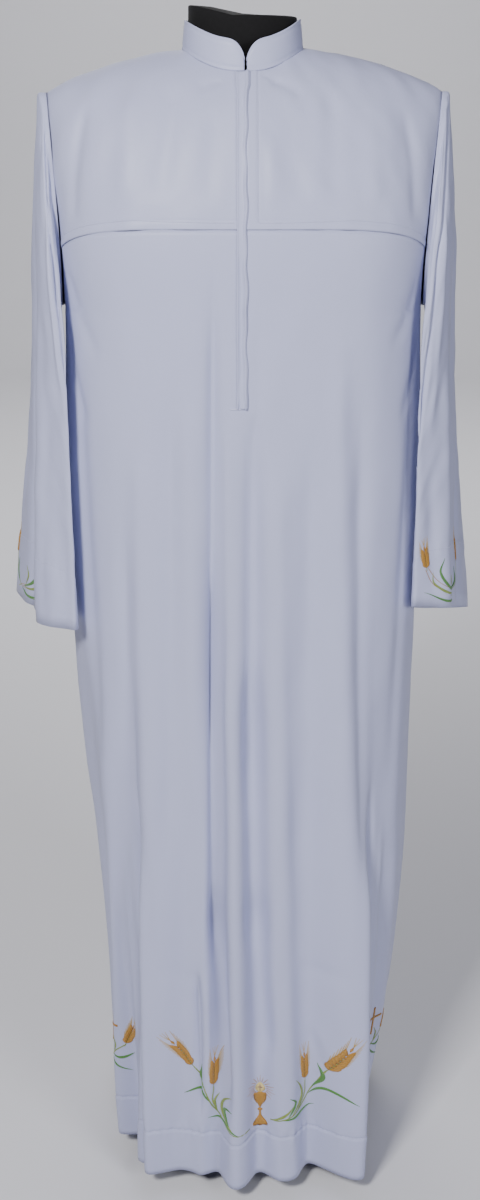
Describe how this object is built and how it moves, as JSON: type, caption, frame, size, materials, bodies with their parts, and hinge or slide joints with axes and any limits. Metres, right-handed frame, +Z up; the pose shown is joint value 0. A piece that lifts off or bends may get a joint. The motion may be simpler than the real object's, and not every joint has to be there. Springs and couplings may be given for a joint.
{
  "type": "alb on a limbless dress form with a pole stand",
  "caption": "White ankle-length alb with stand collar, front yoke and concealed fly strip, hanging on a black limbless dress form with a pole and a round base.",
  "frame": {"origin": "centre of the stand's round underside, on the floor", "axes": "+Z up, the alb's front faces -Y, the wearer's left is at +X"},
  "size_m": [0.616, 0.4367, 1.5388],
  "materials": {
    "alb_cloth": "smooth white polyester suiting with a soft sheen",
    "form_jersey": "black stretch jersey over a smooth torso",
    "stand_metal": "black powder coat"
  },
  "bodies": {
    "root": {"front_panel": "alb_cloth", "front_yoke_right": "alb_cloth", "front_yoke_left": "alb_cloth", "back_panel": "alb_cloth", "sleeve_right": "alb_cloth", "sleeve_left": "alb_cloth", "collar": "alb_cloth", "placket": "alb_cloth", "form_torso": "form_jersey", "stand_pole": "stand_metal", "stand_base": "stand_metal"}
  },
  "joints": []
}
